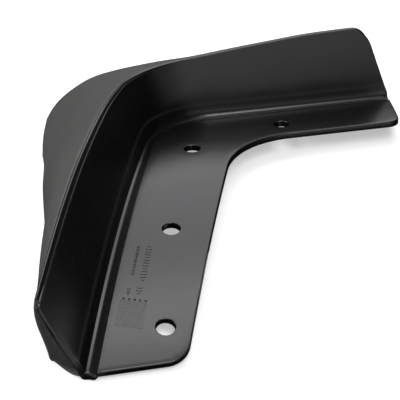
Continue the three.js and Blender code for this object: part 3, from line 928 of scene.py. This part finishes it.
# ------------ flange
def rounded_corner(before, corner, after, radius, steps):
    first = (before - corner).normalized()
    second = (after - corner).normalized()
    half = math.acos(first.dot(second)) / 2
    centre = corner + (first + second).normalized() * radius / math.sin(half)
    start = corner + first * radius / math.tan(half) - centre
    end = corner + second * radius / math.tan(half) - centre
    sweep = math.atan2(start.cross(end), start.dot(end))
    arc = []
    for i in range(steps + 1):
        angle = sweep * i / steps
        c, n = math.cos(angle), math.sin(angle)
        arc.append(centre + Vector((start.x * c - start.y * n, start.x * n + start.y * c)))
    return arc


CRISP_RIM = 0.3  # rounding of the rim beside the groove
SOFT_RIM = 0.75  # and along the free edge
HOLE_RIM = 0.5
UNDER_ROUND = 0.2
OUTLINE_STEP = 3.0
OUTLINE_BEND_STEP = 2.0


def flange_outline():
    """Plan outline, with the rounding radius of the rim at each point."""
    def inner_side(s):
        point, outward = foot(s)
        return point - outward * GROOVE_EDGE

    crisp, soft = CRISP_RIM, SOFT_RIM
    channel_side = [inner_side(s) for s in stations(LONG_RUN, BEND_END, OUTLINE_BEND_STEP)]
    near_channel, far_channel = inner_side(0.0), inner_side(FULL_RUN)
    far_free = Vector((far_channel.x - FAR_END_SLANT, CORNER.y - SHORT_WIDTH))
    edge_start = NEAR_TIP - OUTWARD * LONG_WIDTH
    edge_end = CORNER - OUTWARD * (LONG_WIDTH + WIDTH_GROWTH)
    edge = edge_end - edge_start
    inside = edge_start + edge * ((far_free.y - edge_start.y) / edge.y)
    near_corner = edge_start + edge * ((near_channel.y - edge_start.y) / edge.y)
    groups = [
        ([near_channel], crisp),
        (channel_side, crisp),
        ([far_channel], crisp),
        (rounded_corner(far_channel, far_free, inside, FAR_CORNER_RADIUS, 14), soft),
        (rounded_corner(far_free, inside, near_corner, INNER_RADIUS, 30), soft),
        (rounded_corner(inside, near_corner, near_channel, NEAR_CORNER_RADIUS, 16), soft),
    ]
    raw = [(p, r) for group, r in groups for p in group]
    dense = []
    for i, (point, radius) in enumerate(raw):
        following, next_radius = raw[(i + 1) % len(raw)]
        count = max(1, math.ceil((following - point).length / OUTLINE_STEP))
        both_crisp = radius == crisp and next_radius == crisp
        for k in range(count):
            between = radius if k == 0 else (crisp if both_crisp else soft)
            dense.append((point.lerp(following, k / count), between))
    return dense


def outline_normals(points):
    """Unit normals pointing into the plate, for an outline walked with the plate on one side."""
    area = sum(a.cross(b) for a, b in zip(points, points[1:] + points[:1]))
    side = 1.0 if area > 0 else -1.0
    normals = []
    for i, point in enumerate(points):
        before = (point - points[i - 1]).normalized()
        after = (points[(i + 1) % len(points)] - point).normalized()
        tangent = (before + after).normalized()
        stretch = 1.0 / max(0.5, tangent.dot(before))
        normals.append(Vector((-tangent.y, tangent.x)) * side * stretch)
    return normals


def inside_outline(point, outline):
    inside = False
    for i, a in enumerate(outline):
        b = outline[i - 1]
        if (a.y > point.y) != (b.y > point.y):
            x = a.x + (point.y - a.y) * (b.x - a.x) / (b.y - a.y)
            if point.x < x:
                inside = not inside
    return inside


def arch_normal(y):
    tilt = (y - CREST_Y) / ARCH_RADIUS
    return Vector((0.0, tilt, math.sqrt(1 - tilt ** 2)))


def on_flange(point, depth):
    normal = arch_normal(point.y)
    return world(
        point.x,
        point.y - normal.y * depth,
        arch(point.y) - normal.z * depth,
    )


HOLES = [NEAR_TIP + ALONG * along - OUTWARD * inset for along, inset in LONG_HOLES]
HOLES += [Vector((CORNER.x + SHORT_ARM - end, CORNER.y - inset)) for end, inset in SHORT_HOLES]
HOLE_STEPS = 48
DISH = 0.07  # depth of the flat sunk round each hole, and its edge's radii
DISH_START = 6.2
DISH_END = 8.6
ROLL = 0.24  # how far the flange rolls down to the groove, and over what width
ROLL_WIDTH = 4.5


def inset_of(point):
    """Distance of a plan point from the wall foot, towards the flange."""
    offset = point - NEAR_TIP
    if offset.dot(ALONG) < LONG_RUN:
        return -offset.dot(OUTWARD)
    if point.x > BEND_CENTRE.x:
        return CORNER.y - point.y
    return BEND_RADIUS - (point - BEND_CENTRE).length


def surface_dip(point):
    """Faint flat sunk round each hole, and the soft roll down to the groove."""
    beside = min(max(1 - (inset_of(point) - GROOVE_EDGE) / ROLL_WIDTH, 0.0), 1.0)
    dip = ROLL * beside ** 2
    for centre in HOLES:
        distance = (point - centre).length
        share = min(max((DISH_END - distance) / (DISH_END - DISH_START), 0.0), 1.0)
        dip += DISH * share * share * (3 - 2 * share)
    return dip


# Each is a share of the rim's rounding, inward and then down.
RIM_PROFILE = [(1.0, 0.0), (0.62, 0.076), (0.3, 0.286), (0.08, 0.6), (0.0, 1.0)]


class Rim:
    """Rounded edge of the flange along one closed line, as rings of points from the top down."""

    def __init__(self, ring, radii, is_hole, start):
        sign = -1 if is_hole else 1
        line = [(p, n * sign, r) for p, n, r in zip(ring, outline_normals(ring), radii)]
        under = [(p, n, min(r, UNDER_ROUND)) for p, n, r in line]
        layers = [
            [on_flange(p + n * r * inward, surface_dip(p) + r * down) for p, n, r in line]
            for inward, down in RIM_PROFILE
        ]
        layers += [
            [on_flange(p + n * r * inward, SHEET - r * down) for p, n, r in under]
            for inward, down in reversed(RIM_PROFILE)
        ]
        size = len(ring)
        self.points = [p for layer in layers for p in layer]
        self.faces = []
        for i in range(len(layers) - 1):
            for k in range(size):
                a, b = start + i * size + k, start + i * size + (k + 1) % size
                self.faces.append((a, b, b + size, a + size))
        top_line = [p + n * r for p, n, r in line]
        bottom_line = [p + n * r for p, n, r in under]
        self.sides = [(top_line, start), (bottom_line, start + (len(layers) - 1) * size)]


GRID_SPACING = 2.7
GRID_EDGE_CLEAR = 1.3
GRID_HOLE_CLEAR = 1.9
CDT_TOLERANCE = 1e-5
HOLE_CUT = 0.4  # faces whose middle lies in a hole, or this close to one, are left out
RING_RADII = (6.3, 7.4, 8.5)  # rings of points that carry the flat round each hole
RING_STEPS = 30
RING_CLEAR = 0.9
ROLL_ROWS = (5.2, 6.5, 7.8)  # rows of points that carry the roll to the groove
ROLL_STEP = 3.0
ROLL_ENDS = (1.0, 3.0)
ROLL_CLEAR = 1.2
ROLL_EDGE_CLEAR = 0.7


def around(centre, radius, angle):
    return centre + Vector((math.cos(angle), math.sin(angle))) * radius


def edge_distance(point, ring):
    return min((point - p).length for p in ring)


def without_near(grid, point, clear):
    return [other for other in grid if (other - point).length > clear]


def even_grid(outline, ring):
    """Even plan points inside the ring, clear of it and of the holes."""
    low = Vector((min(p.x for p in outline), min(p.y for p in outline)))
    high = Vector((max(p.x for p in outline), max(p.y for p in outline)))
    grid = []
    for i in range(int((high.y - low.y) / GRID_SPACING) + 1):
        for j in range(int((high.x - low.x) / GRID_SPACING) + 1):
            across = (j + 0.5 * (i % 2)) * GRID_SPACING
            point = Vector((low.x + across, low.y + i * GRID_SPACING))
            near_hole = any((point - c).length < HOLE_RADIUS + GRID_HOLE_CLEAR for c in HOLES)
            if near_hole or not inside_outline(point, ring):
                continue
            if edge_distance(point, ring) >= GRID_EDGE_CLEAR:
                grid.append(point)
    return grid


def flange_grid(outline, ring):
    """Plan points that the flange's faces are built on, finer at the holes and the groove."""
    grid = even_grid(outline, ring)
    for centre in HOLES:
        for row, radius in enumerate(RING_RADII):
            for k in range(RING_STEPS):
                angle = 2 * math.pi * (k + 0.5 * (row % 2)) / RING_STEPS
                point = around(centre, radius, angle)
                grid = without_near(grid, point, RING_CLEAR)
                if inside_outline(point, ring):
                    grid.append(point)
    for inset in ROLL_ROWS:
        for s in stations(ROLL_ENDS[0], FULL_RUN - ROLL_ENDS[1], ROLL_STEP):
            plan, outward = foot(s)
            point = plan - outward * inset
            grid = without_near(grid, point, ROLL_CLEAR)
            if edge_distance(point, ring) > ROLL_EDGE_CLEAR and inside_outline(point, ring):
                grid.append(point)
    return grid


def flange_face(rims, side, grid, first):
    """Triangles of the flange's top (side 0) or bottom (side 1). The grid's own points are
    numbered from first on."""
    coords, edges, known = [], [], []
    for rim in rims:
        ring, start = rim.sides[side]
        offset, size = len(coords), len(ring)
        coords += ring
        known += range(start, start + size)
        edges += [(offset + k, offset + (k + 1) % size) for k in range(size)]
    coords += grid
    known += range(first, first + len(grid))
    verts, _, triangles, origins, *_ = delaunay_2d_cdt(coords, edges, [], 0, CDT_TOLERANCE)
    outer = rims[0].sides[side][0]
    faces = []
    for triangle in triangles:
        middle = (verts[triangle[0]] + verts[triangle[1]] + verts[triangle[2]]) / 3
        in_hole = any((middle - c).length < HOLE_RADIUS + HOLE_CUT for c in HOLES)
        if in_hole or not inside_outline(middle, outer):
            continue
        face = tuple(known[origins[k][0]] for k in triangle)
        faces.append(face[::-1] if side else face)
    return faces


def flange():
    outline = flange_outline()
    edge = [p for p, r in outline]
    lines = [(edge, [r for p, r in outline], False)]
    for centre in HOLES:
        turns = [2 * math.pi * k / HOLE_STEPS for k in range(HOLE_STEPS)]
        ring = [around(centre, HOLE_RADIUS, angle) for angle in turns]
        lines.append((ring, [HOLE_RIM] * HOLE_STEPS, True))
    points, faces, rims = [], [], []
    for ring, radii, is_hole in lines:
        rim = Rim(ring, radii, is_hole, len(points))
        points += rim.points
        faces += rim.faces
        rims.append(rim)
    grid = flange_grid(edge, rims[0].sides[0][0])
    for side in (0, 1):
        faces += flange_face(rims, side, grid, len(points))
        points += [on_flange(p, SHEET if side else surface_dip(p)) for p in grid]
    return points, faces


points, faces = flange()
FLANGE_NODES = ["flange_long_arm", "flange_corner", "flange_short_arm"]
add_piece("flange", points, faces, SMOOTH, FLANGE_NODES, SOFT_SHARP_ANGLE)


# ------------ moulded marks on the flange
def arm_point(along, inset):
    return NEAR_TIP + ALONG * along - OUTWARD * inset


MARK_SINK = 0.12  # how far each mark runs into the flange
BAR_DRAFT = 0.28
DOT_STEPS = 14


def raised_bar(mesh, along, inset, length, width, height):
    """Low bar with drawn-in top edges, its middle at (along, inset)."""
    points, faces = mesh
    draft = min(length, width) * BAR_DRAFT
    start = len(points)
    for lift, draw in ((-MARK_SINK, 0.0), (height, draft)):
        for a, b in ((-1, -1), (1, -1), (1, 1), (-1, 1)):
            corner = arm_point(along + a * (length / 2 - draw), inset + b * (width / 2 - draw))
            points.append(on_flange(corner, -lift))
    faces.append(tuple(start + k for k in (4, 5, 6, 7)))
    for k in range(4):
        following = (k + 1) % 4
        faces.append((start + k, start + following, start + following + 4, start + k + 4))
    faces.append(tuple(start + k for k in (3, 2, 1, 0)))


def raised_dot(mesh, along, inset, radius, height):
    """Small domed dot."""
    points, faces = mesh
    start = len(points)
    steps = DOT_STEPS
    rings = [(1.0, -MARK_SINK), (1.0, height * 0.35), (0.72, height * 0.8), (0.35, height)]
    for share, lift in rings:
        for k in range(steps):
            angle = 2 * math.pi * k / steps
            reach = radius * share
            corner = arm_point(along + math.cos(angle) * reach, inset + math.sin(angle) * reach)
            points.append(on_flange(corner, -lift))
    for i in range(len(rings) - 1):
        for k in range(steps):
            a, b = start + i * steps + k, start + i * steps + (k + 1) % steps
            faces.append((a, b, b + steps, a + steps))
    faces.append(tuple(start + (len(rings) - 1) * steps + k for k in range(steps)))
    faces.append(tuple(start + k for k in reversed(range(steps))))


# The date grid and the marks beside it: distances along the long arm from its near tip, and
# in from the wall foot.
DATE_START, DATE_INSET = 26.2, 7.7
DATE_LONG, DATE_WIDE = 14.6, 12.9
DATE_ROWS, DATE_COLUMNS = 12, 11
DATE_LINE = 0.26
DATE_ROW_HEIGHT, DATE_COLUMN_HEIGHT = 0.1, 0.11
DOTS = 5
DOT_ALONG, DOT_INSET, DOT_PITCH = 42.3, 9.4, 2.6
DOT_RADIUS, DOT_HEIGHT = 0.62, 0.4
BAR_HEIGHT = 0.24
BAR_PITCH = 0.66  # share of the column's width
BAR_LENGTHS = (0.62, 0.3)  # shares of the pitch, for the usual bar and every third one
BAR_WIDTHS = (1.0, 0.62)  # shares of the column's width, for the usual bar and every fourth

# Each column of bars: start and end along the arm, inset of its middle, and width.
BAR_COLUMNS = [
    (44.6, 50.2, 10.9, 1.7),
    (45.4, 51.4, 15.8, 2.7),
    (54.0, 80.4, 16.4, 2.9),
    (57.2, 78.4, 11.2, 1.5),
]

rows, columns, dots, bars = [([], []) for _ in range(4)]
middle = DATE_INSET + DATE_WIDE / 2
for i in range(DATE_ROWS + 1):
    along = DATE_START + DATE_LONG * i / DATE_ROWS
    raised_bar(rows, along, middle, DATE_LINE, DATE_WIDE, DATE_ROW_HEIGHT)
middle = DATE_START + DATE_LONG / 2
for j in range(DATE_COLUMNS + 1):
    inset = DATE_INSET + DATE_WIDE * j / DATE_COLUMNS
    raised_bar(columns, middle, inset, DATE_LONG, DATE_LINE, DATE_COLUMN_HEIGHT)
for k in range(DOTS):
    raised_dot(dots, DOT_ALONG, DOT_INSET + DOT_PITCH * k, DOT_RADIUS, DOT_HEIGHT)
for start_along, end_along, inset, width in BAR_COLUMNS:
    pitch = width * BAR_PITCH
    for k in range(int((end_along - start_along) / pitch)):
        along = start_along + pitch * (k + 0.5)
        length = pitch * BAR_LENGTHS[k % 3 == 0]
        reach = width * BAR_WIDTHS[k % 4 == 0]
        raised_bar(bars, along, inset, length, reach, BAR_HEIGHT)

add_piece("date_grid_rows", *rows, SMOOTH)
add_piece("date_grid_columns", *columns, SMOOTH)
add_piece("date_dots", *dots, SMOOTH)
add_piece("plain_bars", *bars, SMOOTH)


# ------------ floor, lights and camera
WHITE = (1.0, 1.0, 1.0)
STAGE_SIZE = 12.0
FLOOR_GLOW = 0.47
CARD_LEVEL = -0.002  # the cards lie just under the floor, the dark one under them all
DARK_LEVEL = -0.004


def stage_plane(name, corners, colour, roughness, glow=0.0):
    """Flat sheet of the stage, which may glow white."""
    material, _, shader = node_material(name)
    shader.inputs["Base Color"].default_value = (*colour, 1.0)
    shader.inputs["Roughness"].default_value = roughness
    if glow:
        shader.inputs["Emission Color"].default_value = (*WHITE, 1.0)
        shader.inputs["Emission Strength"].default_value = glow
    mesh = bpy.data.meshes.new(name)
    mesh.from_pydata(corners, [], [(0, 1, 2, 3)])
    mesh.materials.append(material)
    plane = add_object(name, mesh)
    return plane


def lying(low, high, z):
    """Corners of a level rectangle between two plan corners."""
    return [(low[0], low[1], z), (high[0], low[1], z), (high[0], high[1], z), (low[0], high[1], z)]


def whole_stage(z):
    half = STAGE_SIZE / 2
    return lying((-half, -half), (half, half), z)


def only_reflected(plane):
    plane.visible_camera = False
    plane.visible_diffuse = False
    plane.visible_shadow = False


floor = stage_plane("floor", whole_stage(0.0), (0.62, 0.62, 0.62), 0.9, FLOOR_GLOW)
floor.visible_glossy = False

# White cards stand in for the lit table and studio. The dark one is the table's shaded part.
FAR_CARD = [(-0.4, -1.1, 0.0), (1.0, -1.1, 0.0), (1.0, -1.1, 0.32), (-0.4, -1.1, 0.32)]
CARDS = [
    ("front_card", lying((-0.02, -1.06), (0.6, -0.045), CARD_LEVEL), 1.0),
    ("left_card", lying((-0.4, -1.06), (-0.02, -0.14), CARD_LEVEL), 0.75),
    ("far_card", FAR_CARD, 1.3),
]
for name, corners, glow in CARDS:
    only_reflected(stage_plane(name, corners, (0.0, 0.0, 0.0), 1.0, glow))
only_reflected(stage_plane("dark_card", whole_stage(DARK_LEVEL), (0.01, 0.01, 0.01), 1.0))


LIGHT_AIM = Vector((0.0, 0.0, 0.02))


def area_light(name, azimuth, elevation, distance, size, power, colour=WHITE):
    """Soft panel facing the guard. Azimuth 0 is behind it, +90 to its right."""
    a, e = math.radians(azimuth), math.radians(elevation)
    towards = Vector((math.sin(a) * math.cos(e), math.cos(a) * math.cos(e), math.sin(e)))
    light = bpy.data.lights.new(name, "AREA")
    light.shape = "RECTANGLE"
    light.size, light.size_y = size
    light.energy = power
    light.color = colour
    lamp = add_object(name, light)
    lamp.location = LIGHT_AIM + towards * distance
    lamp.rotation_mode = "QUATERNION"
    lamp.rotation_quaternion = towards.to_track_quat("Z", "Y")


COOL_WHITE = (0.97, 0.98, 1.0)
area_light("back_panel", 12, 44, 1.6, (1.35, 1.75), 15.2, COOL_WHITE)
area_light("high_panel", 8, 68, 1.5, (0.9, 0.5), 3.2, COOL_WHITE)
area_light("key_panel", 174, 57, 1.3, (0.6, 0.66), 10.5)
area_light("top_panel", 0, 90, 1.9, (1.6, 1.6), 8.0)
area_light("left_panel", -80, 28, 1.4, (0.9, 0.7), 20.0)

background = bpy.data.worlds.new("studio")
background.use_nodes = True
world_shader = background.node_tree.nodes["Background"]
world_shader.inputs["Color"].default_value = (*WHITE, 1.0)
world_shader.inputs["Strength"].default_value = 0.06
bpy.context.scene.world = background
bpy.context.scene.view_settings.view_transform = "Standard"

CAMERA_DISTANCE = 0.6113
camera = add_object("camera", bpy.data.cameras.new("camera"))
camera.data.lens = 108.0
camera.data.sensor_width = 36.0
looking = Vector((0.16691, 0.80197, -0.57358))
target = world(0.0, 0.0, 21.2)
camera.location = target - looking * CAMERA_DISTANCE
camera.rotation_mode = "QUATERNION"
camera.rotation_quaternion = looking.to_track_quat("-Z", "Y")
camera.data.clip_start, camera.data.clip_end = 0.01, 50.0
bpy.context.scene.camera = camera
